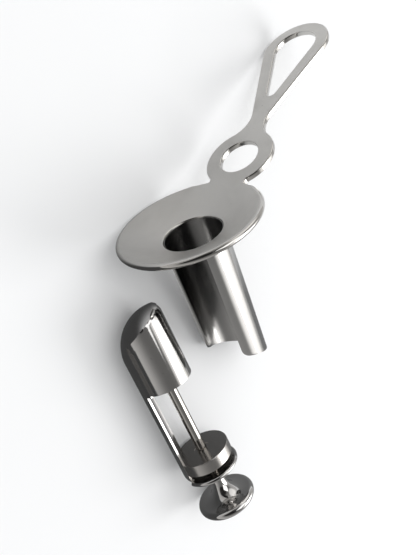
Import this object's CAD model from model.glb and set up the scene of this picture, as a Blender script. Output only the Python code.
# %% [markdown]
# A slotted speculum lies on a pale table beside the obturator that belongs in it. Both are polished
# stainless steel. Five of the seven pieces are turned, bent or rolled from simple sections, and the plug
# and the plate follow rules of their own, so a node tree or a few lines of arithmetic can hold each of
# them. Steel shows almost nothing of itself: its look is the shape of its reflections, so the meshes are
# smooth and their edges are really rounded, and the finish is in how sharply each face mirrors the room.

import math

import bmesh
import bpy
import numpy as np
from mathutils import Matrix, Vector
from mathutils.geometry import delaunay_2d_cdt


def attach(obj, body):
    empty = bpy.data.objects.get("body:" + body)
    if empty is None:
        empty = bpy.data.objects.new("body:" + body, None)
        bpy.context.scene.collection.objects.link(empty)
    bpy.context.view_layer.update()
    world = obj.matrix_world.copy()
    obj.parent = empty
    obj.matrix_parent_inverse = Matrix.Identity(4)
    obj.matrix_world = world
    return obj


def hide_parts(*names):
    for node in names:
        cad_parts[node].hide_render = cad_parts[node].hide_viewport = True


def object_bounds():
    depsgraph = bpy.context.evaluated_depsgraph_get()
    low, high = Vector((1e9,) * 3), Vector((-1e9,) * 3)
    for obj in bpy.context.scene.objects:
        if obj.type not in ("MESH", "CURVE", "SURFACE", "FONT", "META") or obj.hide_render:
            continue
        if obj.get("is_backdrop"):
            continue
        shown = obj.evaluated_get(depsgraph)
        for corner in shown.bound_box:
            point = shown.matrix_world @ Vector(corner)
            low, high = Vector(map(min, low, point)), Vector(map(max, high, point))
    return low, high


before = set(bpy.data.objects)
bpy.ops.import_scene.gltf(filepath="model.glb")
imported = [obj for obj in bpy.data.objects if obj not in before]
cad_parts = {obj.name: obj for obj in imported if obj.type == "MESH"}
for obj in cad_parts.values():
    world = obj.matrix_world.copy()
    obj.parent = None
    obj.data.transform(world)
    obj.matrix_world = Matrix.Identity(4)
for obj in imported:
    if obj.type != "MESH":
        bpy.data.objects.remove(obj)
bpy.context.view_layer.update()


def box_numbers():
    """The box of the whole object as plain numbers"""
    return [[float(v) for v in corner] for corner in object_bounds()]


# %% [markdown]
# Every length below is in millimetres and has the name of the part that it measures, and an angle is in
# radians unless its name says degrees. Both instruments are drawn on one upright axis, the way they fit
# together: the mouth of the barrel is at height 0, the barrel runs down, the handle leaves towards +X and
# the slot is open towards -X.

# %% Sizes of the speculum
MOUTH_R = 14.6
WALL = 1.3
BARREL_L = 75.5
BARREL_TAPER = 0.6
END_SLOPE = math.radians(29)
SLOT_HALF = math.radians(50)
SLOT_CORNER = 3.5
FLANGE_R = 36.0
DISH_H = 7.2
PLATE_T = 3.2
SEAT_L = 3.2
LIP_R = 0.9
RING_AT = 17.0
RING_HOLE_R = 10.6
RING_W = 8.4
ROOT_R = 2.5
WAIST_AT = 44.5
WAIST_HALF = 5.1
LOOP_AT = 104.0
LOOP_R = 20.0
LOOP_BAND = 7.5
LOOP_ROOT = 20.5
EDGE_R = 0.8
FIT_GAP = 0.05
THICK_R = 17.66
THICK_RUN = 16.3
THICK_EXTRA = 1.4
MOUTH_OUT = MOUTH_R + WALL
SEAT_LOW = -SEAT_L - LIP_R
DISH_ANGLE = math.atan(DISH_H / (FLANGE_R - MOUTH_R))
print("speculum, mm: bore", 2 * MOUTH_R, "barrel", BARREL_L, "flange", 2 * FLANGE_R)

# %% [markdown]
# The obturator fills the tube, so its sizes follow the bore and the slot with a little play: the disc and
# the plug run in the bore, the land fills the slot and the strip lies along it. Heights are on the same
# axis, and the nose, which stands out of the barrel when the two are put together, is the lowest.

# %% Sizes of the obturator
PLUG_R = 13.0
NOSE_R = 13.5
LAND_R = 14.5
LAND_HALF = math.radians(49)
SHOULDER_AT = 82.5
SHOULDER_SLOPE = math.radians(34)
NOSE_TIP = -92.1
NOSE_CURVE = 21.8
TIP_R = 5.0
PLUG_FACE = -52.5
STRIP_T = 1.2
STRIP_HALF = math.radians(37)
STRIP_IN = LAND_R - STRIP_T
STRIP_END = PLUG_FACE - 11.0
COLLAR_R = 15.3
COLLAR_T = 2.3
BEND_R = 3.6
BEND_IN_R = 1.0
DISC_R = 14.2
DISC_LOW = -10.0
DISC_HIGH = -3.5
RECESS_W = 1.5
RECESS_DEPTH = 0.5
NOTCH_GAP_DEGREES = 0.5
ROD_R = 2.65
ROD_SEAT = 12.0
KNOB_R = 15.7
KNOB_L = 22.8
KNOB_RIM = 2.2
KNOB_NECK = 4.0
print("obturator, mm: plug", 2 * PLUG_R, "land", 2 * LAND_R, "disc", 2 * DISC_R, "knob", 2 * KNOB_R)

# %% [markdown]
# How the two lie is a matter of balance. The speculum rests on the rim of its flange, on the end of its
# barrel and on the loop of its handle, so its axis is tilted and turned until all three touch the table.
# Its place and angles are the ones that the solids were laid down with. The obturator rests on the rim of
# its knob and on the edge of its land, which is quickly worked out here. The matrices take a point of the
# upright drawing, in millimetres, to its place on the table, in metres.

# %% Lay the two instruments down
SPECULUM_AT = (-8.3, -31.0, 33.63978)
SPECULUM_YAW_DEGREES = -144
SPECULUM_TILT_DEGREES = 14.02073
SPECULUM_TURN_DEGREES = 79.61625
OBTURATOR_AT = (110.15, -6.8)
OBTURATOR_YAW_DEGREES = -150.5
OBTURATOR_ROLL_DEGREES = 61


def turned_by(degrees, axis):
    """Rotation about one axis"""
    return Matrix.Rotation(math.radians(degrees), 4, axis)


def obturator_lean():
    """Tilt of the obturator's axis and height of its collar, once knob and nose touch the table"""
    high = COLLAR_T + KNOB_L - KNOB_RIM
    off = NOSE_CURVE - LAND_R
    edge = math.hypot(off + LAND_R * math.cos(LAND_HALF), LAND_R * math.sin(LAND_HALF))
    low = NOSE_TIP + NOSE_CURVE - math.sqrt(NOSE_CURVE ** 2 - edge ** 2)
    drop = LAND_R * math.cos(math.radians(OBTURATOR_ROLL_DEGREES) - LAND_HALF)
    tilt = math.asin((KNOB_R - drop) / (high - low))
    lift = KNOB_RIM + (KNOB_R - KNOB_RIM) * math.cos(tilt) - high * math.sin(tilt)
    return math.degrees(tilt), lift


METRES = Matrix.Scale(0.001, 4)
speculum_lies = (
    METRES
    @ Matrix.Translation(SPECULUM_AT)
    @ turned_by(SPECULUM_YAW_DEGREES, "Z")
    @ turned_by(90 - SPECULUM_TILT_DEGREES, "Y")
    @ turned_by(-SPECULUM_TURN_DEGREES, "Z")
)
lean, lift = obturator_lean()
obturator_lies = (
    METRES
    @ Matrix.Translation((*OBTURATOR_AT, lift))
    @ turned_by(OBTURATOR_YAW_DEGREES, "Z")
    @ turned_by(270 + lean, "Y")
    @ turned_by(-OBTURATOR_ROLL_DEGREES, "Z")
)
print("obturator leans", round(lean, 3), "degrees, collar", round(lift, 3), "mm up")

# %% [markdown]
# The photograph was taken from above and turned on its side, so the camera's own right-hand direction
# points up and away. Its picture is 416 by 555 and its focal length is given in the pixels of that
# picture, which a sensor height and a focal length in millimetres say in the camera's own terms.

# %% Camera
CAMERA_AT = (0.01406, -0.17941, 0.24733)
CAMERA_FORWARD = (-0.0043, 0.59347, -0.80484)
CAMERA_RIGHT = (-0.00603, 0.80482, 0.59349)
FOCAL_PIXELS = 550
PICTURE_HEIGHT = 555
SENSOR = 24


def set_camera():
    """The camera at the photograph's viewing angle"""
    lens = bpy.data.cameras.new("camera")
    lens.sensor_fit = "VERTICAL"
    lens.sensor_height = SENSOR
    lens.lens = SENSOR * FOCAL_PIXELS / PICTURE_HEIGHT
    lens.clip_start = 0.01
    camera = bpy.data.objects.new("camera", lens)
    bpy.context.scene.collection.objects.link(camera)
    forward = Vector(CAMERA_FORWARD).normalized()
    right = Vector(CAMERA_RIGHT)
    right = (right - forward * right.dot(forward)).normalized()
    up = right.cross(forward)
    turn = Matrix((right, up, -forward)).transposed().to_4x4()
    camera.matrix_world = Matrix.Translation(CAMERA_AT) @ turn
    bpy.context.scene.camera = camera
    print("camera looks along", [round(v, 3) for v in forward])


set_camera()

# %% [markdown]
# Node trees are easier to read as arithmetic. A Field wraps one socket, so that sums on it add their Math
# nodes, and a Bench is the tree that it belongs to, with the one method that makes any other node. The
# same two serve the shaders and the geometry.

# %% Fields and benches
class Field:
    """A value that travels through a node tree"""

    def __init__(self, bench, socket):
        self.bench = bench
        self.socket = socket

    def maths(self, operation, *others):
        """One Math node with this value first"""
        inputs = dict(enumerate((self, *others)))
        return self.bench.node("ShaderNodeMath", {"operation": operation}, inputs)

    def __add__(self, other):
        return self.maths("ADD", other)

    def __radd__(self, other):
        return self.maths("ADD", other)

    def __sub__(self, other):
        return self.maths("SUBTRACT", other)

    def __rsub__(self, other):
        return (self * -1) + other

    def __mul__(self, other):
        return self.maths("MULTIPLY", other)

    def __rmul__(self, other):
        return self.maths("MULTIPLY", other)

    def __truediv__(self, other):
        return self.maths("DIVIDE", other)

    def ramp(self, low, high, to_low=0.0, to_high=1.0):
        """This value carried smoothly from one range to another, and held at the ends"""
        values = {"Value": self, 1: low, 2: high, 3: to_low, 4: to_high}
        return self.bench.node("ShaderNodeMapRange", {"interpolation_type": "SMOOTHSTEP"}, values)


class Bench:
    """One node tree and the method that adds to it"""

    def __init__(self, tree):
        self.tree = tree

    def link(self, value, socket):
        """Gives a socket a value, or the field that feeds it"""
        if isinstance(value, Field):
            self.tree.links.new(value.socket, socket)
        else:
            socket.default_value = value

    def node(self, kind, settings=None, values=None, output=0):
        """A node of a kind: first its settings, then what its sockets take"""
        made = self.tree.nodes.new(kind)
        for name, setting in (settings or {}).items():
            setattr(made, name, setting)
        for key, value in (values or {}).items():
            self.link(value, made.inputs[key])
        return Field(self, made.outputs[output])


# %% [markdown]
# Steel takes four kinds of finish here. A satin face was rubbed with a fine abrasive, so it scatters the
# light and shows faint smudges from handling. A polished face mirrors the room, with hairlines and a film
# that dulls it a little in patches. A turned piece keeps very fine rings from the lathe. A drawn or rolled
# piece keeps faint lines along its length. All of them vary the roughness, the tone and a bump by noise in
# Object coordinates, which a Mapping node turns to the axis of each instrument. The shader measures in
# metres. The inside of the tube mirrors mostly its own wall, so it is darker, and most of all near its mouth.

# %% Steel
SMUDGE_SCALE = 38
HAZE_SCALE = 140
SPECK_SCALE = 420
GRAIN_SCALE = 2600
HAIR_SCALE = 260
CROSS_HAIR_SCALE = 300
RING_SCALE = 900
DRAWN_SCALE = 420
BUMP_STRENGTH = 0.12
BUMP_HEIGHT = 0.0002
DARKEST = 0.08
SMOOTHEST = 0.03
INNER_WALL_R = 0.0149


def axis_frame(lies):
    """Place and turn of an instrument's own axis, for a Mapping node"""
    place, turn, _ = lies.decompose()
    return place, turn.to_euler("XYZ")


def steel(name, lies, tone, rough, film, hairline=0.0, rings=0.0, drawn=0.0, polish=None, bore=None):
    """A procedural steel finish. Rings and drawn lines follow the axis of the instrument."""
    material = bpy.data.materials.new(name)
    material.use_nodes = True
    bench = Bench(material.node_tree)
    shader = material.node_tree.nodes["Principled BSDF"]
    place, turn = axis_frame(lies)
    here = bench.node("ShaderNodeTexCoord", output="Object")
    along = bench.node(
        "ShaderNodeMapping",
        {"vector_type": "TEXTURE"},
        {"Vector": here, "Location": place, "Rotation": turn},
    )

    def noise(scale, detail=2.0, stretch=(1, 1, 1), distortion=0.0):
        """Noise in the instrument's own directions, centred on nought"""
        pulled = bench.node("ShaderNodeVectorMath", {"operation": "MULTIPLY"}, {0: along, 1: stretch})
        values = {"Vector": pulled, "Scale": scale, "Detail": detail, "Distortion": distortion}
        return bench.node("ShaderNodeTexNoise", None, values) - 0.5

    smudge = noise(SMUDGE_SCALE, 3.0, distortion=0.6)
    haze = noise(HAZE_SCALE, 2.0)
    hairs = noise(HAIR_SCALE, 1.0, (1, 1, 0.05), 0.8)
    hairs = hairs + noise(CROSS_HAIR_SCALE, 1.0, (0.06, 1, 1), 0.9)
    grain = noise(GRAIN_SCALE, 1.0)
    surface = haze * 0.25 + grain * 0.15
    if hairline:
        surface = surface + hairs * hairline
    if rings:
        surface = surface + noise(RING_SCALE, 1.0, (0.004, 0.004, 1)) * rings
    if drawn:
        surface = surface + noise(DRAWN_SCALE, 1.0, (1, 1, 0.01)) * drawn
    specks = (noise(SPECK_SCALE, 1.0) + 0.5).ramp(0.74, 0.80)
    dull = smudge * film + haze * film * 0.5 + rough
    shade = 1 - (smudge + 0.1).ramp(0.0, 0.4) * 0.10 - specks * 0.2
    if polish is not None:
        worn = bench.node("ShaderNodeAttribute", {"attribute_name": "polish"}, output="Fac")
        dull = dull * (1 - worn) + worn * polish
        surface = surface * (1 - worn * 0.9)
    if bore is not None:
        x, y, z = [bench.node("ShaderNodeSeparateXYZ", None, {0: along}, n) for n in range(3)]
        inner = (x * x + y * y).maths("SQRT").ramp(bore, bore + 0.0002, 1.0, 0.0)
        deep = z.ramp(-0.075, -0.03, 0.25, 0.75)
        shade = shade * (1 - inner * deep)
        dull = dull + inner * 0.12
    colour = bench.node(
        "ShaderNodeMix",
        {"data_type": "RGBA"},
        {0: shade, 6: tuple(DARKEST * c for c in tone) + (1,), 7: tuple(tone) + (1,)},
        2,
    )
    relief = {"Strength": BUMP_STRENGTH, "Distance": BUMP_HEIGHT, "Height": surface}
    bump = bench.node("ShaderNodeBump", None, relief)
    shader.inputs["Metallic"].default_value = 1.0
    bench.link(colour, shader.inputs["Base Color"])
    bench.link(dull.maths("MAXIMUM", SMOOTHEST), shader.inputs["Roughness"])
    bench.link(bump, shader.inputs["Normal"])
    return material


WARM_GREY = (0.66, 0.645, 0.62)
TUBE_GREY = (0.66, 0.655, 0.645)
PLUG_GREY = (0.64, 0.63, 0.62)
DISC_GREY = (0.56, 0.54, 0.52)
ROD_GREY = (0.62, 0.60, 0.57)
KNOB_GREY = (0.70, 0.69, 0.68)
satin_steel = steel("satin_steel", speculum_lies, WARM_GREY, 0.36, 0.30, 0.3, polish=0.09)
polished_tube = steel(
    "polished_tube", speculum_lies, TUBE_GREY, 0.12, 0.10, 0.05, drawn=0.35, bore=INNER_WALL_R
)
mirror_steel = steel("mirror_steel", obturator_lies, PLUG_GREY, 0.11, 0.12, 0.05, rings=0.15)
polished_strip = steel("polished_strip", obturator_lies, PLUG_GREY, 0.12, 0.08, 0.05, drawn=0.3)
turned_steel = steel("turned_steel", obturator_lies, DISC_GREY, 0.24, 0.12, rings=0.9)
polished_rod = steel("polished_rod", obturator_lies, ROD_GREY, 0.12, 0.08, drawn=0.2)
mirror_knob = steel("mirror_knob", obturator_lies, KNOB_GREY, 0.06, 0.06, 0.02, rings=0.06)
print("materials, with the ones of the frame:", len(bpy.data.materials))

# %% [markdown]
# A lathe makes a round piece from one section, and so does this tree. It takes the section as a line of
# points and lays a grid over it: one way along the grid follows the section, the other way turns about the
# axis. The same tree gives a whole turn or a part of one, such as the bent strip of the obturator.

# %% The lathe as a node tree
def build_lathe():
    """Geometry Nodes: revolves a line of points about Z, from one angle to another"""
    tree = bpy.data.node_groups.new("lathe", "GeometryNodeTree")
    face = tree.interface
    face.new_socket("Geometry", in_out="INPUT", socket_type="NodeSocketGeometry")
    for name, kind in (("Steps", "Int"), ("From", "Float"), ("To", "Float"), ("Finish", "Material")):
        face.new_socket(name, in_out="INPUT", socket_type="NodeSocket" + kind)
    face.new_socket("Geometry", in_out="OUTPUT", socket_type="NodeSocketGeometry")
    bench = Bench(tree)
    entry = tree.nodes.new("NodeGroupInput")
    section, steps, start, stop, finish = [Field(bench, entry.outputs[n]) for n in range(5)]
    count = bench.node("GeometryNodeAttributeDomainSize", None, {"Geometry": section})
    grid = bench.node("GeometryNodeMeshGrid", None, {"Vertices X": steps + 1, "Vertices Y": count})
    index = bench.node("GeometryNodeInputIndex")
    column = (index / count).maths("FLOOR")
    row = index - column * count
    where = bench.node("GeometryNodeInputPosition")
    pick = {"data_type": "FLOAT_VECTOR", "domain": "POINT"}
    point = bench.node("GeometryNodeSampleIndex", pick, {"Geometry": section, "Value": where, "Index": row})
    angle = start + column / steps * (stop - start)
    spin = {"rotation_type": "Z_AXIS"}
    place = bench.node("ShaderNodeVectorRotate", spin, {"Vector": point, "Angle": angle})
    shape = bench.node("GeometryNodeSetPosition", None, {"Geometry": grid, "Position": place})
    shape = bench.node("GeometryNodeMergeByDistance", None, {"Geometry": shape, "Distance": 0.0005})
    shape = bench.node("GeometryNodeRealizeInstances", None, {"Geometry": shape})
    shape = bench.node("GeometryNodeSetMaterial", None, {"Geometry": shape, "Material": finish})
    leave = tree.nodes.new("NodeGroupOutput")
    bench.link(shape, leave.inputs[0])
    return tree


lathe = build_lathe()
print("lathe tree:", len(lathe.nodes), "nodes")


def set_input(modifier, name, value):
    """Sets a named input of a Geometry Nodes modifier by its socket's identifier"""
    for item in modifier.node_group.interface.items_tree:
        if item.item_type == "SOCKET" and item.in_out == "INPUT" and item.name == name:
            modifier[item.identifier] = value


def frozen(holder, name):
    """The evaluated shape of an object as a plain mesh of its own"""
    bpy.context.view_layer.update()
    ready = holder.evaluated_get(bpy.context.evaluated_depsgraph_get())
    mesh = bpy.data.meshes.new_from_object(ready)
    mesh.name = name
    bpy.data.objects.remove(holder)
    return mesh


def holder_for(name, mesh):
    """An object that carries a mesh while its modifiers are worked out"""
    holder = bpy.data.objects.new(name, mesh)
    bpy.context.scene.collection.objects.link(holder)
    return holder


def revolve(name, section, finish, start=-180, stop=180, steps=180):
    """A mesh turned from a closed or open section of (radius, height) points"""
    line = bpy.data.meshes.new(name + "_section")
    line.from_pydata([(r, 0, z) for r, z in section], [], [])
    holder = holder_for(name, line)
    modifier = holder.modifiers.new("lathe", "NODES")
    modifier.node_group = lathe
    set_input(modifier, "Steps", steps)
    set_input(modifier, "From", math.radians(start))
    set_input(modifier, "To", math.radians(stop))
    set_input(modifier, "Finish", finish)
    mesh = frozen(holder, name)
    if stop - start < 360:
        cap_ends(mesh)
    return mesh


def cap_ends(mesh):
    """Closes the two open ends of a part turn"""
    work = bmesh.new()
    work.from_mesh(mesh)
    rim = [e for e in work.edges if e.is_boundary]
    bmesh.ops.holes_fill(work, edges=rim, sides=0)
    work.to_mesh(mesh)
    work.free()


# %% [markdown]
# A section is written as its corners, each with the radius that rounds it, the way a drawing gives them.
# The helper puts an arc in each corner, so that every edge catches a line of light.

# %% Sections with rounded corners
def rounded(corners, arc_steps=6):
    """A line of points through corners (radius, height, rounding)"""
    points = []
    for n, (x, z, fillet) in enumerate(corners):
        here = Vector((x, z))
        if fillet <= 0 or n in (0, len(corners) - 1):
            points.append((x, z))
            continue
        back = (Vector(corners[n - 1][:2]) - here).normalized()
        on = (Vector(corners[n + 1][:2]) - here).normalized()
        half = math.acos(max(-1, min(1, back.dot(on)))) / 2
        reach = fillet / math.tan(half)
        middle = here + (back + on).normalized() * (fillet / math.sin(half))
        first = here + back * reach - middle
        last = here + on * reach - middle
        swing = math.atan2(first.x * last.y - first.y * last.x, first.dot(last))
        for k in range(arc_steps + 1):
            turn = swing * k / arc_steps
            cosine, sine = math.cos(turn), math.sin(turn)
            points.append(
                (
                    middle.x + first.x * cosine - first.y * sine,
                    middle.y + first.x * sine + first.y * cosine,
                )
            )
    return points


def arc(middle, radius, start, stop, count):
    """Points on an arc, from one angle to another"""
    angles = [math.radians(start + (stop - start) * n / count) for n in range(count + 1)]
    return [(middle[0] + radius * math.cos(a), middle[1] + radius * math.sin(a)) for a in angles]


def join(meshes, name, finish):
    """Several meshes as one, in one finish"""
    work = bmesh.new()
    for mesh in meshes:
        work.from_mesh(mesh)
    whole = bpy.data.meshes.new(name)
    work.to_mesh(whole)
    work.free()
    whole.materials.append(finish)
    for face in whole.polygons:
        face.material_index = 0
    return whole


def soften(holder, width, from_degrees):
    """Rounds the edges of a holder's mesh that turn by more than an angle"""
    modifier = holder.modifiers.new("soften", "BEVEL")
    modifier.width = width
    modifier.segments = 3
    modifier.limit_method = "ANGLE"
    modifier.angle_limit = math.radians(from_degrees)


def finish_piece(name, mesh, lies, node, sharp=32, bevel=0.0):
    """Lays a mesh down, shades it and sets it in the place of its node"""
    work = bmesh.new()
    work.from_mesh(mesh)
    bmesh.ops.recalc_face_normals(work, faces=work.faces)
    work.to_mesh(mesh)
    work.free()
    if bevel:
        holder = holder_for(name + "_work", mesh)
        soften(holder, bevel, 40)
        mesh = frozen(holder, name)
    mesh.transform(lies)
    mesh.shade_smooth()
    mesh.set_sharp_from_angle(angle=math.radians(sharp))
    holder = holder_for(name + "_work", mesh)
    weighted = holder.modifiers.new("weighted", "WEIGHTED_NORMAL")
    weighted.keep_sharp = True
    weighted.weight = 60
    piece = holder_for(name, frozen(holder, name))
    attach(piece, "root")
    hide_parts(node)
    print(name, len(piece.data.vertices), "vertices", len(piece.data.polygons), "faces")


# %% [markdown]
# The knob is a small trumpet: a straight neck, a hollow flare and a thick rolled rim under a flat top. It
# is the brightest mirror of the whole set. A Screw modifier on a curve would give the same form, but the
# lathe tree keeps one method for every turned piece, and its arcs are dense where the mirror bends most.

# %% Knob
flare = KNOB_R - KNOB_RIM - KNOB_NECK
flare_top = COLLAR_T + KNOB_L - 2 * KNOB_RIM
rim_mid = (KNOB_R - KNOB_RIM, COLLAR_T + KNOB_L - KNOB_RIM)
knob_section = [(0, COLLAR_T + ROD_SEAT), (ROD_R, COLLAR_T + ROD_SEAT)]
knob_section += [(ROD_R, COLLAR_T), (KNOB_NECK, COLLAR_T)]
knob_section += arc((KNOB_NECK + flare, flare_top - flare), flare, 180, 90, 22)
knob_section += arc(rim_mid, KNOB_RIM, -90, 90, 16)[1:]
knob_section += [(rim_mid[0] * n / 6, rim_mid[1] + KNOB_RIM) for n in (5, 3, 1, 0)]
knob_mesh = revolve("knob_flare", knob_section, mirror_knob, steps=192)
finish_piece("knob_flare", knob_mesh, obturator_lies, "knob")

# %% [markdown]
# The rod is drawn bar. It runs from the plug through the disc and the collar into the knob. A bare
# cylinder would do for its shape, but its ends lie in the plug and the knob, so it is turned from a
# section that says where they are.

# %% Rod
rod_section = [(0, PLUG_FACE - ROD_SEAT), (ROD_R, PLUG_FACE - ROD_SEAT)]
rod_section += [(ROD_R, z) for z in np.linspace(PLUG_FACE - 8, COLLAR_T + 8, 8)]
rod_section += [(ROD_R, COLLAR_T + ROD_SEAT), (0, COLLAR_T + ROD_SEAT)]
rod_mesh = revolve("centre_bar", rod_section, polished_rod, steps=72)
finish_piece("centre_bar", rod_mesh, obturator_lies, "centre_rod")

# %% [markdown]
# The centring disc keeps the plug in the middle of the bore. It is a thick turned disc with a shallow
# recess round the rod and a notch in its rim, where the strip passes. The notch could be cut with a
# Boolean, which leaves ragged faces beside a rounded edge. Two part turns do it cleanly: the wide one,
# and a narrower one where the strip lies.

# %% Centring disc
def disc_section(radius):
    """Closed section of the disc with an outside radius"""
    corners = [
        (ROD_R + FIT_GAP, DISC_LOW + RECESS_DEPTH, 0),
        (ROD_R + RECESS_W, DISC_LOW + RECESS_DEPTH, 0.15),
        (ROD_R + RECESS_W, DISC_LOW, 0.25),
        (8.0, DISC_LOW, 0),
        (radius, DISC_LOW, 0.35),
        (radius, DISC_HIGH, 0.35),
        (ROD_R + FIT_GAP, DISC_HIGH, 0),
        (ROD_R + FIT_GAP, DISC_LOW + RECESS_DEPTH, 0),
    ]
    return rounded(corners, 5)


NOTCH = math.degrees(STRIP_HALF) + NOTCH_GAP_DEGREES
disc_mesh = join(
    [
        revolve("disc_wide", disc_section(DISC_R), turned_steel, NOTCH - 180, 180 - NOTCH, 150),
        revolve("disc_notch", disc_section(STRIP_IN - FIT_GAP), turned_steel, 180 - NOTCH, 180 + NOTCH, 40),
    ],
    "centring_disc_turned",
    turned_steel,
)
finish_piece("centring_disc_turned", disc_mesh, obturator_lies, "centring_disc")

# %% [markdown]
# The strip is a long piece of rolled sheet that closes the slot, bent inward at its end into the round
# collar under the knob. The bend and the strip are one section turned through the strip's own angle, and
# the collar with its rolled rim is another, turned through the rest. A sheet with Solidify would be
# quicker, but the real collar is thicker than the strip, and a closed section shows that.

# %% Strip and collar
STRIP_EDGE = 0.12
strip_section = [(STRIP_IN, STRIP_END), (LAND_R, STRIP_END)]
strip_section += [(LAND_R, z) for z in np.linspace(STRIP_END + 1, COLLAR_T - BEND_R - 1, 24)]
strip_section += arc((LAND_R - BEND_R, COLLAR_T - BEND_R), BEND_R, 0, 90, 14)
strip_section += [(ROD_R + FIT_GAP, COLLAR_T), (ROD_R + FIT_GAP, 0)]
strip_section += arc((STRIP_IN - BEND_IN_R, -BEND_IN_R), BEND_IN_R, 90, 0, 8)
strip_section += [(STRIP_IN, STRIP_END)]
collar_flat = COLLAR_R - COLLAR_T / 2 - 0.3
collar_section = [(ROD_R + FIT_GAP, 0), (collar_flat, 0)]
collar_section += arc((COLLAR_R - COLLAR_T / 2, COLLAR_T / 2), COLLAR_T / 2, -90, 90, 14)
collar_section += [(collar_flat, COLLAR_T), (ROD_R + FIT_GAP, COLLAR_T), (ROD_R + FIT_GAP, 0)]
half = math.degrees(STRIP_HALF)
strip_mesh = join(
    [
        revolve("strip_bend", strip_section, polished_strip, 180 - half, 180 + half, 48),
        revolve("collar_round", collar_section, polished_strip, half - 180, 180 - half, 150),
    ],
    "slot_strip_bent",
    polished_strip,
)
finish_piece("slot_strip_bent", strip_mesh, obturator_lies, "slot_strip", bevel=STRIP_EDGE)

# %% [markdown]
# The plug is the piece that no single section can give: a bullet with a long curve on one side, a slanted
# shoulder that meets the end of the barrel, a raised land that fills the slot, and a recess for the strip.
# Each of these is a simple solid, so one function tells how far a point is outside their union. From
# points on the axis, rays go out along rows that follow the shoulder and then fan down to the tip, and
# halving the interval finds where each ray leaves the steel. Rows and columns come in close pairs at the
# shoulder and at the edges of land and recess, so those edges stay crisp. Booleans would give the same
# solid, but with long thin faces that a mirror finish shows as dents.

# %% The plug as a solid
def bullet(p, radius):
    """Distance outside a rounded bullet, whose long curve is on the land side"""
    side = np.hypot(p[..., 0], p[..., 1]) - (radius - TIP_R)
    under = NOSE_TIP + TIP_R - p[..., 2]
    corner = np.hypot(np.maximum(side, 0), np.maximum(under, 0)) - TIP_R
    corner = corner + np.minimum(np.maximum(side, under), 0)
    fall = np.minimum(p[..., 2] - NOSE_TIP - NOSE_CURVE, 0)
    ball = np.sqrt((p[..., 0] - NOSE_CURVE + LAND_R) ** 2 + p[..., 1] ** 2 + fall ** 2) - NOSE_CURVE
    return np.maximum(corner, ball)


def plug_outside(p):
    """Distance outside the plug: nose beyond the shoulder, plug, and land without its recess"""
    turn = np.abs(np.arctan2(p[..., 1], -p[..., 0]))
    shoulder = p[..., 2] + SHOULDER_AT + math.tan(SHOULDER_SLOPE) * p[..., 0]
    nose = np.maximum(bullet(p, NOSE_R), shoulder)
    land = np.where(turn < LAND_HALF, bullet(p, LAND_R), 1.0)
    solid = np.minimum(np.minimum(nose, bullet(p, PLUG_R)), land)
    recess = (turn < STRIP_HALF) & (p[..., 2] > STRIP_END) & (np.hypot(p[..., 0], p[..., 1]) > STRIP_IN)
    return np.where(recess, 1.0, solid)


print("plug: tip at", NOSE_TIP, "shoulder at", -SHOULDER_AT, "face at", PLUG_FACE)

# %% [markdown]
# Now the rays. Each meets the surface once and gives one point, and the points of a row make one ring. The
# rings of a plain lathe lie level, and the slanted shoulder would cut through them in steps. So the rows
# tilt little by little until one lies along the shoulder, and from there they fan down to the tip.

# %% Rays from the axis to the surface
PAIR_GAP = 0.02
TILT_FROM = -63.6
TILT_RUN = 18.88
FAN_ROWS = 34
FARTHEST = 40.0
HALVINGS = 34
hair = math.radians(0.04)
edges = [math.pi + s * h + g for s in (-1, 1) for h in (LAND_HALF, STRIP_HALF) for g in (-hair, hair)]
columns = np.array(sorted(list(np.linspace(0, 2 * math.pi, 160, endpoint=False)) + edges))
level = (PLUG_FACE, -54, -56, -58, -60, -62, STRIP_END + PAIR_GAP, STRIP_END - PAIR_GAP)
rows = [(z, 0.0) for z in level]
rows += [(TILT_FROM - TILT_RUN * s, s) for s in np.linspace(0.06, 1, 16)]
rows += [(-SHOULDER_AT - PAIR_GAP, 1.0)]
slant = math.tan(SHOULDER_SLOPE)
starts = [z for z, k in rows]
dips = [np.arctan(slant * k * np.cos(columns)) for z, k in rows]
for u in np.linspace(0, 1, FAN_ROWS)[1:-1]:
    starts.append(-SHOULDER_AT - PAIR_GAP)
    dips.append(dips[len(rows) - 1] * (1 - u) + math.pi / 2 * u)
dips = np.array(dips)
origin = np.zeros(dips.shape + (3,))
origin[..., 2] = np.array(starts)[:, None]
ray = np.stack([np.cos(dips) * np.cos(columns), np.cos(dips) * np.sin(columns), -np.sin(dips)], -1)
near = np.zeros(dips.shape)
far = np.full(dips.shape, FARTHEST)
for _ in range(HALVINGS):
    middle = (near + far) / 2
    inside = plug_outside(origin + ray * middle[..., None]) < 0
    near = np.where(inside, middle, near)
    far = np.where(inside, far, middle)
plug_points = origin + ray * near[..., None]
print("plug surface:", plug_points.shape[0], "rows of", plug_points.shape[1])


def skin(name, grid, caps, finish):
    """A closed mesh over rows of points, with a point at each end"""
    row_count, column_count = grid.shape[:2]
    points = [tuple(p) for p in grid.reshape(-1, 3)] + caps
    faces = []
    for i in range(row_count - 1):
        for j in range(column_count):
            on = (j + 1) % column_count
            a, b = i * column_count, (i + 1) * column_count
            faces.append((a + j, a + on, b + on, b + j))
    first, last = len(points) - 2, len(points) - 1
    end = (row_count - 1) * column_count
    for j in range(column_count):
        on = (j + 1) % column_count
        faces.append((first, on, j))
        faces.append((last, end + j, end + on))
    mesh = bpy.data.meshes.new(name)
    mesh.from_pydata(points, [], faces)
    mesh.materials.append(finish)
    return mesh


pole = plug_points[-1].mean(0)
plug_mesh = skin("plug_turned", plug_points, [(0, 0, PLUG_FACE), (0, 0, pole[2] - PAIR_GAP)], mirror_steel)
finish_piece("plug_turned", plug_mesh, obturator_lies, "obturator_plug", sharp=28)

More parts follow.
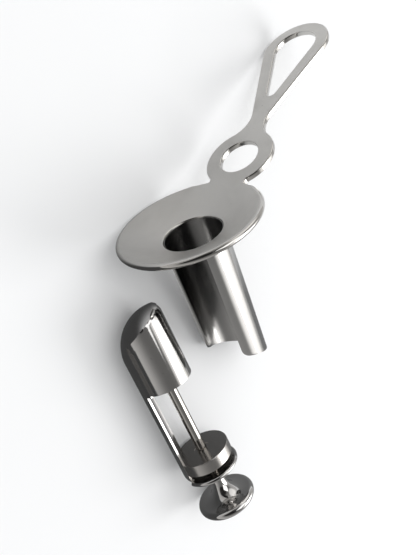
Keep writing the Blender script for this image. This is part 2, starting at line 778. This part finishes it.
# %% [markdown]
# The barrel is a thin tube with a slot along its whole length and a slanted end. Its wall is one curved
# sheet, so the tree lays a grid over it: across the grid the angle goes from one edge of the slot to the
# other, closer together near the edges, and down the grid the depth goes to the slanted end, drawn up in a
# round at each corner. Solidify then gives the sheet its thickness inward, and Bevel rounds its edges. A
# tube with the slot cut out by a Boolean would look alike, but its corners would be broken faces.

# %% Barrel
BARREL_EDGE = 0.28


def build_rolled_wall():
    """Geometry Nodes: the slotted, tapered sheet of the barrel"""
    tree = bpy.data.node_groups.new("rolled_wall", "GeometryNodeTree")
    face = tree.interface
    names = ("Radius", "Taper", "Length", "Slope", "Slot", "Corner", "Top")
    face.new_socket("Geometry", in_out="INPUT", socket_type="NodeSocketGeometry")
    for name in names:
        face.new_socket(name, in_out="INPUT", socket_type="NodeSocketFloat")
    face.new_socket("Finish", in_out="INPUT", socket_type="NodeSocketMaterial")
    face.new_socket("Geometry", in_out="OUTPUT", socket_type="NodeSocketGeometry")
    bench = Bench(tree)
    entry = tree.nodes.new("NodeGroupInput")
    radius, taper, length, slope, slot, corner, top = [Field(bench, entry.outputs[n]) for n in range(1, 8)]
    across, down = 160, 60
    grid = bench.node("GeometryNodeMeshGrid", None, {"Vertices X": across + 1, "Vertices Y": down + 1})
    index = bench.node("GeometryNodeInputIndex")
    column = (index / (down + 1)).maths("FLOOR")
    row = index - column * (down + 1)
    spread = column * (2 / across) - 1
    spread = spread * (1.5 - spread * spread * 0.5)
    reach = math.pi - slot
    angle = spread * reach
    cosine = angle.maths("COSINE")
    edge = (reach - angle.maths("ABSOLUTE")) * radius
    inner = (corner - edge).maths("MAXIMUM", 0.0)
    lift = corner - (corner * corner - inner * inner).maths("MAXIMUM", 0.0).maths("SQRT")
    end = length + slope.maths("TANGENT") * radius * cosine - lift
    depth = top + (end - top) * (row * (1 / down))
    out = radius - depth * taper / length
    parts = {"X": out * cosine, "Y": out * angle.maths("SINE"), "Z": depth * -1}
    place = bench.node("ShaderNodeCombineXYZ", None, parts)
    shape = bench.node("GeometryNodeSetPosition", None, {"Geometry": grid, "Position": place})
    shape = bench.node("GeometryNodeRealizeInstances", None, {"Geometry": shape})
    finish = Field(bench, entry.outputs[8])
    shape = bench.node("GeometryNodeSetMaterial", None, {"Geometry": shape, "Material": finish})
    leave = tree.nodes.new("NodeGroupOutput")
    bench.link(shape, leave.inputs[0])
    return tree


rolled_wall = build_rolled_wall()
wall_holder = holder_for("barrel_wall", bpy.data.meshes.new("barrel_start"))
wall_tree = wall_holder.modifiers.new("rolled_wall", "NODES")
wall_tree.node_group = rolled_wall
wall_sizes = {
    "Radius": MOUTH_OUT,
    "Taper": BARREL_TAPER,
    "Length": BARREL_L,
    "Slope": END_SLOPE,
    "Slot": SLOT_HALF,
    "Corner": SLOT_CORNER,
    "Top": -SEAT_LOW,
    "Finish": polished_tube,
}
for name, value in wall_sizes.items():
    set_input(wall_tree, name, value)
wall_mesh = frozen(wall_holder, "barrel_wall")
middle_face = wall_mesh.polygons[len(wall_mesh.polygons) // 2]
if middle_face.normal.dot(Vector((middle_face.center.x, middle_face.center.y, 0))) < 0:
    wall_mesh.flip_normals()
wall_holder = holder_for("barrel_wall", wall_mesh)
thicken = wall_holder.modifiers.new("thicken", "SOLIDIFY")
thicken.thickness = WALL
thicken.offset = -1
soften(wall_holder, BARREL_EDGE, 50)
wall_mesh = frozen(wall_holder, "barrel_wall")
seat_section = [(MOUTH_R, -LIP_R), (MOUTH_OUT - FIT_GAP, -LIP_R)]
seat_section += [(MOUTH_OUT - FIT_GAP, SEAT_LOW), (MOUTH_R, SEAT_LOW), (MOUTH_R, -LIP_R)]
seat_mesh = revolve("barrel_seat", seat_section, polished_tube, steps=160)
barrel_mesh = join([wall_mesh, seat_mesh], "barrel_rolled", polished_tube)
finish_piece("barrel_rolled", barrel_mesh, speculum_lies, "barrel")

# %% [markdown]
# Flange and handle are one plate. Seen from above it has an outline and three openings, and its top is the
# cone of the dish, which runs over into the flat of the handle. So the plate is made from its outlines:
# each is a chain of arcs, each edge is a band of faces that rounds it, and the top and the underside are
# filled between the bands and lifted onto the surface. Joining a turned dish to a flat handle would leave
# a seam at the root, where the real plate runs over smoothly. The bands carry an attribute named polish,
# because on the real plate the faces are satin and the edges and the walls of the openings are bright.

# %% Top and underside of the plate
CONE_DEGREES = 20.9
CONE_RATE = math.tan(math.radians(CONE_DEGREES))
HANDLE_RATE = math.tan(DISH_ANGLE)
HANDLE_RUN = math.cos(DISH_ANGLE)
ROOT_FROM = 29.5
ROOT_SPREAD = 5
ROOT_TO = 37.5
RIM_FROM = 35.8
RIM_TO = 38.5


def smooth_step(value, low, high):
    """From 0 at low to 1 at high"""
    share = np.clip((value - low) / (high - low), 0, 1)
    return share * share * (3 - 2 * share)


def plate_top(x, y):
    """Height of the top of the plate over a point of the plan"""
    r = np.hypot(x, y)
    cone = (r - MOUTH_R - LIP_R) * CONE_RATE
    flat = DISH_H + (x - FLANGE_R) * HANDLE_RATE
    side = np.abs(y)
    start = ROOT_FROM + ROOT_SPREAD * smooth_step(side, 2, 13)
    under = smooth_step(r, start, ROOT_TO) * (1 - smooth_step(side, 15, 18.5))
    share = np.maximum(under, smooth_step(r, RIM_FROM, RIM_TO)) * (x > 0)
    return cone * (1 - share) + flat * share


def plate_lean(x, y):
    """Unit normal of the top of the plate"""
    step = 0.05
    slope_x = (plate_top(x + step, y) - plate_top(x - step, y)) / (2 * step)
    slope_y = (plate_top(x, y + step) - plate_top(x, y - step)) / (2 * step)
    normal = np.stack([-slope_x, -slope_y, np.ones_like(slope_x)], -1)
    return normal / np.linalg.norm(normal, axis=-1, keepdims=True)


def plate_depth(x, y):
    """Thickness of the plate, which grows towards the seat of the tube"""
    share = np.clip(1 - (np.hypot(x, y) - THICK_R) / THICK_RUN, 0, 1)
    return PLATE_T + THICK_EXTRA * share


print("plate top over the rim:", round(float(plate_top(np.float64(-FLANGE_R), np.float64(0))), 3), "mm")

# %% [markdown]
# The outlines are chains of arcs that touch: the rim, a small hollow corner at the root, the ring, the
# long hollow of the waist and the round end of the loop. Points set by eye would leave waves that a bright
# edge shows, so the centres and the angles where one arc meets the next are worked out.

# %% Outlines of the plate
def circle_points(x, y, radius, start, stop, spacing=0.8):
    """Points on an arc of the plan, angles in radians"""
    count = max(6, int(abs(stop - start) * radius / spacing))
    angles = np.linspace(start, stop, count + 1)
    return np.stack([x + radius * np.cos(angles), y + radius * np.sin(angles)], -1)


def straight(a, b, spacing=0.8):
    """Points between two points, without them"""
    a, b = np.array(a), np.array(b)
    count = max(2, int(np.linalg.norm(b - a) / spacing))
    return a + (b - a) * np.linspace(0, 1, count + 1)[1:-1, None]


def handle_to_plan(points):
    """Distances along the sloping handle, from the rim, as places in the plan"""
    return np.stack([FLANGE_R + points[:, 0] * HANDLE_RUN, points[:, 1]], -1)


ring_out = RING_HOLE_R + RING_W
run = WAIST_AT - RING_AT
waist_round = (run ** 2 + WAIST_HALF ** 2 - ring_out ** 2) / (2 * (ring_out - WAIST_HALF))
root_d = FLANGE_R + RING_AT
root_a = (root_d ** 2 + (FLANGE_R + ROOT_R) ** 2 - (ring_out + ROOT_R) ** 2) / (2 * root_d)
root_mid = (root_a - FLANGE_R, math.sqrt((FLANGE_R + ROOT_R) ** 2 - root_a ** 2))
blade_lean = math.asin((LOOP_R - WAIST_HALF) / (LOOP_AT - WAIST_AT - WAIST_HALF / 2))
to_rim = math.atan2(-root_mid[1], -root_a)
to_ring = math.atan2(-root_mid[1], RING_AT - root_mid[0])
to_waist = math.atan2(WAIST_HALF + waist_round, run)
from_root = math.atan2(root_mid[1], root_mid[0] - RING_AT)
side = [circle_points(*root_mid, ROOT_R, to_rim, to_ring, 0.35)]
side += [circle_points(RING_AT, 0, ring_out, from_root, to_waist)[1:]]
waist_mid = (WAIST_AT, WAIST_HALF + waist_round)
side += [circle_points(*waist_mid, waist_round, to_waist - math.pi, blade_lean - math.pi / 2)[1:]]
loop_touch = (LOOP_AT - LOOP_R * math.sin(blade_lean), LOOP_R * math.cos(blade_lean))
side += [straight(side[-1][-1], loop_touch)]
side += [circle_points(LOOP_AT, 0, LOOP_R, math.pi / 2 + blade_lean, 0)]
upper = handle_to_plan(np.concatenate(side))
lower = upper[::-1][1:] * (1, -1)
rim_from = math.atan2(upper[0][1], upper[0][0])
rim = circle_points(0, 0, FLANGE_R, -rim_from, rim_from - 2 * math.pi)[1:-1]
outer = np.concatenate([upper, lower, rim])
slope = math.asin((LOOP_R - WAIST_HALF) / (LOOP_AT - WAIST_AT))
hole_r = LOOP_R - LOOP_BAND
slit_at = WAIST_AT + LOOP_ROOT
slit_r = hole_r - (LOOP_AT - slit_at) * math.sin(slope)
slit_end = circle_points(slit_at, 0, slit_r, math.pi, math.pi / 2 + slope, 0.3)
slit_far = circle_points(LOOP_AT, 0, hole_r, math.pi / 2 + slope, 0)
half_hole = np.concatenate([slit_end, straight(slit_end[-1], slit_far[0]), slit_far])
loop_hole = handle_to_plan(np.concatenate([half_hole, half_hole[::-1][1:-1] * (1, -1)]))
ring_hole = handle_to_plan(circle_points(RING_AT, 0, RING_HOLE_R, 0, 2 * math.pi)[:-1])
bore = circle_points(0, 0, MOUTH_R, 0, 2 * math.pi)[:-1]
print("outline points:", len(outer), len(loop_hole), len(ring_hole), len(bore))

# %% [markdown]
# The real edges were rounded on a wheel, and round the flange the rounding takes up the whole thickness. A
# Bevel modifier would need clean faces beside each edge. Here the rows of a band are laid on a quarter
# circle above and another below, square to the plate, so the rounding is the same all along.

# %% Rounded edges of the plate
BORE_STEP = 0.3
FOOT_IN_R = 17.4
FOOT_OUT_R = 17.9
FOOT_OUT_Z = -3.9


def outward_of(loop, hole):
    """Unit directions in the plan that point out of the metal along a loop"""
    along = np.roll(loop, -1, 0) - np.roll(loop, 1, 0)
    along /= np.linalg.norm(along, axis=1, keepdims=True)
    across = np.stack([along[:, 1], -along[:, 0]], -1)
    ahead = np.roll(loop, -1, 0)
    turning = np.sum(loop[:, 0] * ahead[:, 1] - loop[:, 1] * ahead[:, 0])
    return across * np.sign(turning) * (-1 if hole else 1)


def edge_band(loop, radius, hole):
    """Rows of points round an edge, from the top face to the underside, with their polish"""
    out = outward_of(loop, hole)
    middle = loop - out * radius[:, None]
    x, y = middle[:, 0], middle[:, 1]
    up = plate_lean(x, y)
    push = np.concatenate([out, np.zeros((len(out), 1))], 1)
    push = push - up * np.sum(push * up, axis=1, keepdims=True)
    push /= np.linalg.norm(push, axis=1, keepdims=True)
    top = np.stack([x, y, plate_top(x, y)], -1) - up * radius[:, None]
    bottom = top - up * (plate_depth(x, y) - 2 * radius)[:, None]
    rows = []
    for degrees in (90, 72, 54, 36, 18, 0):
        a = math.radians(degrees)
        rows.append((top + radius[:, None] * (push * math.cos(a) + up * math.sin(a)), degrees < 80))
    for degrees in (0, -18, -36, -54, -72, -90):
        a = math.radians(degrees)
        rows.append((bottom + radius[:, None] * (push * math.cos(a) + up * math.sin(a)), degrees > -80))
    return rows


def bore_band():
    """Rows of points round the lip of the bore and the seat of the tube"""
    rows = edge_band(bore, np.full(len(bore), LIP_R), True)[:5]
    spoke = bore / MOUTH_R
    low = float(rows[-1][0][:, 2].mean())
    low -= BORE_STEP
    seat = [(MOUTH_R, low), (MOUTH_OUT, low), (MOUTH_OUT, SEAT_LOW)]
    seat += [(FOOT_IN_R, SEAT_LOW), (FOOT_OUT_R, FOOT_OUT_Z)]
    for r, z in seat:
        ring = np.concatenate([spoke * r, np.full((len(bore), 1), z)], 1)
        rows.append((ring, r < MOUTH_R + 0.1))
    return rows


rim_share = 1 - smooth_step(outer[:, 0], 26, 36)
outer_band = edge_band(outer, EDGE_R + (PLATE_T / 2 - EDGE_R) * rim_share, False)
bands = [
    outer_band,
    edge_band(loop_hole, np.full(len(loop_hole), EDGE_R), True),
    edge_band(ring_hole, np.full(len(ring_hole), EDGE_R), True),
    bore_band(),
]
print("bands:", len(bands), "with", [len(band) for band in bands], "rows")

# %% [markdown]
# Between the bands lie the wide faces. One face with holes can't follow a cone, so more points are spread
# inside it, in rings on the dish and in rows on the handle. A fill of even triangles joins them all, and
# each point is lifted onto the surface. A grid cut to the outline would leave slivers along every edge.

# %% Fill the top and the underside
RING_STEP = 1.7
ROW_STEP = 1.5
FROM_EDGE = 0.9


def even_odd(points, loops):
    """True for the points that lie inside an odd number of loops"""
    inside = np.zeros(len(points), bool)
    for loop in loops:
        a, b = loop, np.roll(loop, -1, 0)
        y = points[:, 1][:, None]
        crosses = (a[:, 1] > y) != (b[:, 1] > y)
        rise = np.where(b[:, 1] == a[:, 1], 1e-9, b[:, 1] - a[:, 1])
        at = a[:, 0] + (y - a[:, 1]) * (b[:, 0] - a[:, 0]) / rise
        inside ^= (crosses & (points[:, 0][:, None] < at)).sum(1) % 2 == 1
    return inside


def inner_points(loops):
    """Points spread inside the plate, in rings on the dish and in rows on the handle"""
    radii = np.arange(17.2, 34, RING_STEP)
    rings = [circle_points(0, 0, r, 0, 2 * math.pi, RING_STEP)[:-1] for r in radii]
    across, along = np.meshgrid(np.arange(-19.5, 19.6, ROW_STEP), np.arange(35.5, 156, ROW_STEP))
    field = np.concatenate(rings + [np.stack([along.ravel(), across.ravel()], -1)])
    field = field[even_odd(field, loops)]
    edge = np.concatenate(loops)
    apart = np.array([np.min(np.hypot(*(edge - p).T)) for p in field])
    return field[apart > FROM_EDGE]


def fill(loops, lift, offset):
    """Triangles between loops of the mesh, with the new points that they need"""
    flat = [loop[:, :2] for loop, _ in loops]
    extra = inner_points(flat)
    given = np.concatenate(flat + [extra])
    ids = list(np.concatenate([first + np.arange(len(loop)) for loop, first in loops]))
    edges, start = [], 0
    for loop in flat:
        edges += [(start + n, start + (n + 1) % len(loop)) for n in range(len(loop))]
        start += len(loop)
    made = delaunay_2d_cdt([Vector(p) for p in given], edges, [], 0, 1e-5)
    points = np.array([tuple(p) for p in made[0]])
    new, ids_out = [], []
    for p, source in zip(points, made[3]):
        old = [s for s in source if s < len(ids)]
        if old:
            ids_out.append(ids[old[0]])
            continue
        ids_out.append(offset + len(new))
        new.append(lift(p[0], p[1]))
    faces = np.array([f for f in made[2] if len(f) == 3])
    inside = even_odd(points[faces].mean(1), flat)
    return new, [tuple(ids_out[i] for i in f) for f in faces[inside]]


def on_top(x, y):
    """Point of the top face"""
    return (x, y, float(plate_top(np.float64(x), np.float64(y))))


def on_underside(x, y):
    """Point of the underside, the plate's depth below the top along its normal"""
    x, y = np.float64(x), np.float64(y)
    return (x, y, float(plate_top(x, y) - plate_depth(x, y) / plate_lean(x, y)[2]))


def plate_mesh():
    """The whole plate of flange and handle"""
    points, faces, polish, tops, bottoms = [], [], [], [], []
    for band in bands:
        count = len(band[0][0])
        tops.append((band[0][0], len(points)))
        for n, (ring, bright) in enumerate(band):
            if n == len(band) - 1:
                bottoms.append((ring, len(points)))
            if n:
                a, b = len(points) - count, len(points)
                faces += [(a + j, a + (j + 1) % count, b + (j + 1) % count, b + j) for j in range(count)]
            points += [tuple(p) for p in ring]
            polish += [float(bright)] * count
    for loops, lift in ((tops, on_top), (bottoms, on_underside)):
        new, filled = fill(loops, lift, len(points))
        points += new
        polish += [0.0] * len(new)
        faces += filled
    mesh = bpy.data.meshes.new("flange_handle_plate")
    mesh.from_pydata(points, [], faces)
    mesh.attributes.new("polish", "FLOAT", "POINT").data.foreach_set("value", polish)
    mesh.materials.append(satin_steel)
    work = bmesh.new()
    work.from_mesh(mesh)
    bmesh.ops.remove_doubles(work, verts=work.verts, dist=0.001)
    bmesh.ops.dissolve_degenerate(work, edges=work.edges, dist=0.0005)
    work.to_mesh(mesh)
    work.free()
    return mesh


finish_piece("flange_handle_plate", plate_mesh(), speculum_lies, "flange_handle", 34)

# %% [markdown]
# The set stands on a white sheet under a large soft light from one side, so its shadows are pale and fall
# to the other. Polished steel also needs something dark to mirror, as in any studio: two dark cards hang
# outside the picture, and a grey card lies in the place of the table. They are seen only in reflections
# and cast no shadow, so the table itself can stay white.

# %% Floor, light and cards
FLOOR_WIDE = 6
FLOOR_Z = -0.0008
TABLE_CARD_Z = -0.0009


def plain(name, tone):
    """A plain material for the stage"""
    material = bpy.data.materials.new(name)
    material.use_nodes = True
    shader = material.node_tree.nodes["Principled BSDF"]
    shader.inputs["Base Color"].default_value = (tone, tone, tone, 1)
    shader.inputs["Roughness"].default_value = 0.9
    shader.inputs["Specular IOR Level"].default_value = 0.0
    return material


def board(name, middle, wide, high, towards, material, hidden=True):
    """A flat board that faces a point, on the stage"""
    mesh = bpy.data.meshes.new(name)
    w, h = wide / 2, high / 2
    mesh.from_pydata([(-w, -h, 0), (w, -h, 0), (w, h, 0), (-w, h, 0)], [], [(0, 1, 2, 3)])
    mesh.materials.append(material)
    look = Vector(towards) - Vector(middle)
    mesh.transform(Matrix.Translation(middle) @ look.to_track_quat("Z", "Y").to_matrix().to_4x4())
    board_object = holder_for(name, mesh)
    if hidden:
        board_object.visible_camera = False
        board_object.visible_diffuse = False
        board_object.visible_shadow = False
    board_object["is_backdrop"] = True
    return board_object


def table_in_mirror():
    """What the steel mirrors of the table: light behind the flange, dark in front of the nose"""
    material = plain("table_in_mirror", 0.5)
    bench = Bench(material.node_tree)
    here = bench.node("ShaderNodeTexCoord", output="Object")
    place = bench.node("ShaderNodeSeparateXYZ", None, {0: here})
    across = bench.node("ShaderNodeSeparateXYZ", None, {0: here}, "Y")
    light = place.ramp(-0.14, -0.05, 0.20, 0.0) + place.ramp(-0.035, 0.02, 0.62, 0.0)
    light = light + across.ramp(-0.05, 0.07, 0.10, 0.34)
    tone = bench.node("ShaderNodeCombineColor", None, {0: light, 1: light, 2: light})
    bench.link(tone, material.node_tree.nodes["Principled BSDF"].inputs["Base Color"])
    return material


floor_white = plain("floor_white", 0.86)
floor = board("floor", (0, 0, FLOOR_Z), FLOOR_WIDE, FLOOR_WIDE, (0, 0, 1), floor_white, hidden=False)
floor.visible_glossy = False
board("table_card", (0, 0, TABLE_CARD_Z), FLOOR_WIDE, FLOOR_WIDE, (0, 0, 1), table_in_mirror())
dark_card = plain("dark_card", 0.02)
object_middle = (0, 0, 0.03)
board("card_behind", (-0.30, -0.75, 0.55), 0.9, 0.25, object_middle, dark_card)
board("card_over", (0.10, -0.22, 0.42), 0.16, 0.12, object_middle, dark_card)


def soft_light(name, place, size, power):
    """A square area light that faces the object"""
    lamp = bpy.data.lights.new(name, "AREA")
    lamp.shape = "SQUARE"
    lamp.size = size
    lamp.energy = power
    light = bpy.data.objects.new(name, lamp)
    bpy.context.scene.collection.objects.link(light)
    look = Vector(object_middle) - Vector(place)
    light.matrix_world = Matrix.Translation(place) @ look.to_track_quat("-Z", "Y").to_matrix().to_4x4()


soft_light("window", (0.15, 0.95, 0.85), 0.7, 6)
soft_light("ceiling", (-0.2, 0.1, 1.4), 1.0, 4.5)
print("lights:", len(bpy.data.lights))

# %% [markdown]
# The room is the sky of the scene. The floor and the other dull things are lit by a plain white one.
# Reflections see a darker one with a wide window beyond the table, a smaller one on the -X side, and the
# dark behind the camera, because steel that mirrors pure white looks like paper. A picture of a studio
# would do this too, but soft spots given by their directions are easy to move.

# %% Room
def studio_room():
    """A white room for what the light falls on, and a darker one with bright windows in reflections"""
    world = bpy.data.worlds.new("studio")
    world.use_nodes = True
    bench = Bench(world.node_tree)
    look = bench.node("ShaderNodeTexCoord", output="Generated")

    def towards(x, y, z):
        """How near a reflection looks to one direction, from -1 to 1"""
        length = math.sqrt(x * x + y * y + z * z)
        aim = (x / length, y / length, z / length)
        return bench.node("ShaderNodeVectorMath", {"operation": "DOT_PRODUCT"}, {0: look, 1: aim}, "Value")

    tone = towards(0, 0, 1).ramp(0.0, 0.9, 0.55, 0.16)
    tone = tone + towards(0.12, 0.82, 0.62).ramp(0.84, 0.94, 0.0, 1.1)
    tone = tone + towards(-0.8, 0.1, 0.45).ramp(0.90, 0.97, 0.0, 0.7)
    tone = tone * towards(0.0, -0.62, 0.78).ramp(0.80, 0.93, 1.0, 0.12)
    mirrored = bench.node("ShaderNodeBackground", None, {"Color": (1, 0.985, 0.965, 1), "Strength": tone})
    lit = bench.node("ShaderNodeBackground", None, {"Color": (0.98, 0.99, 1.0, 1), "Strength": 0.78})
    glossy = bench.node("ShaderNodeLightPath", output="Is Glossy Ray")
    sky = bench.node("ShaderNodeMixShader", None, {0: glossy, 1: lit, 2: mirrored})
    bench.link(sky, world.node_tree.nodes["World Output"].inputs["Surface"])
    bpy.context.scene.world = world


studio_room()
print("room:", bpy.context.scene.world.name)
bpy.context.scene.view_settings.view_transform = "Standard"

# %% [markdown]
# The last cell writes the box of the frame and the box of the dressed object side by side, so that a piece
# that grew shows in the numbers.

# %% Check the size and finish
print("dressed:", box_numbers())
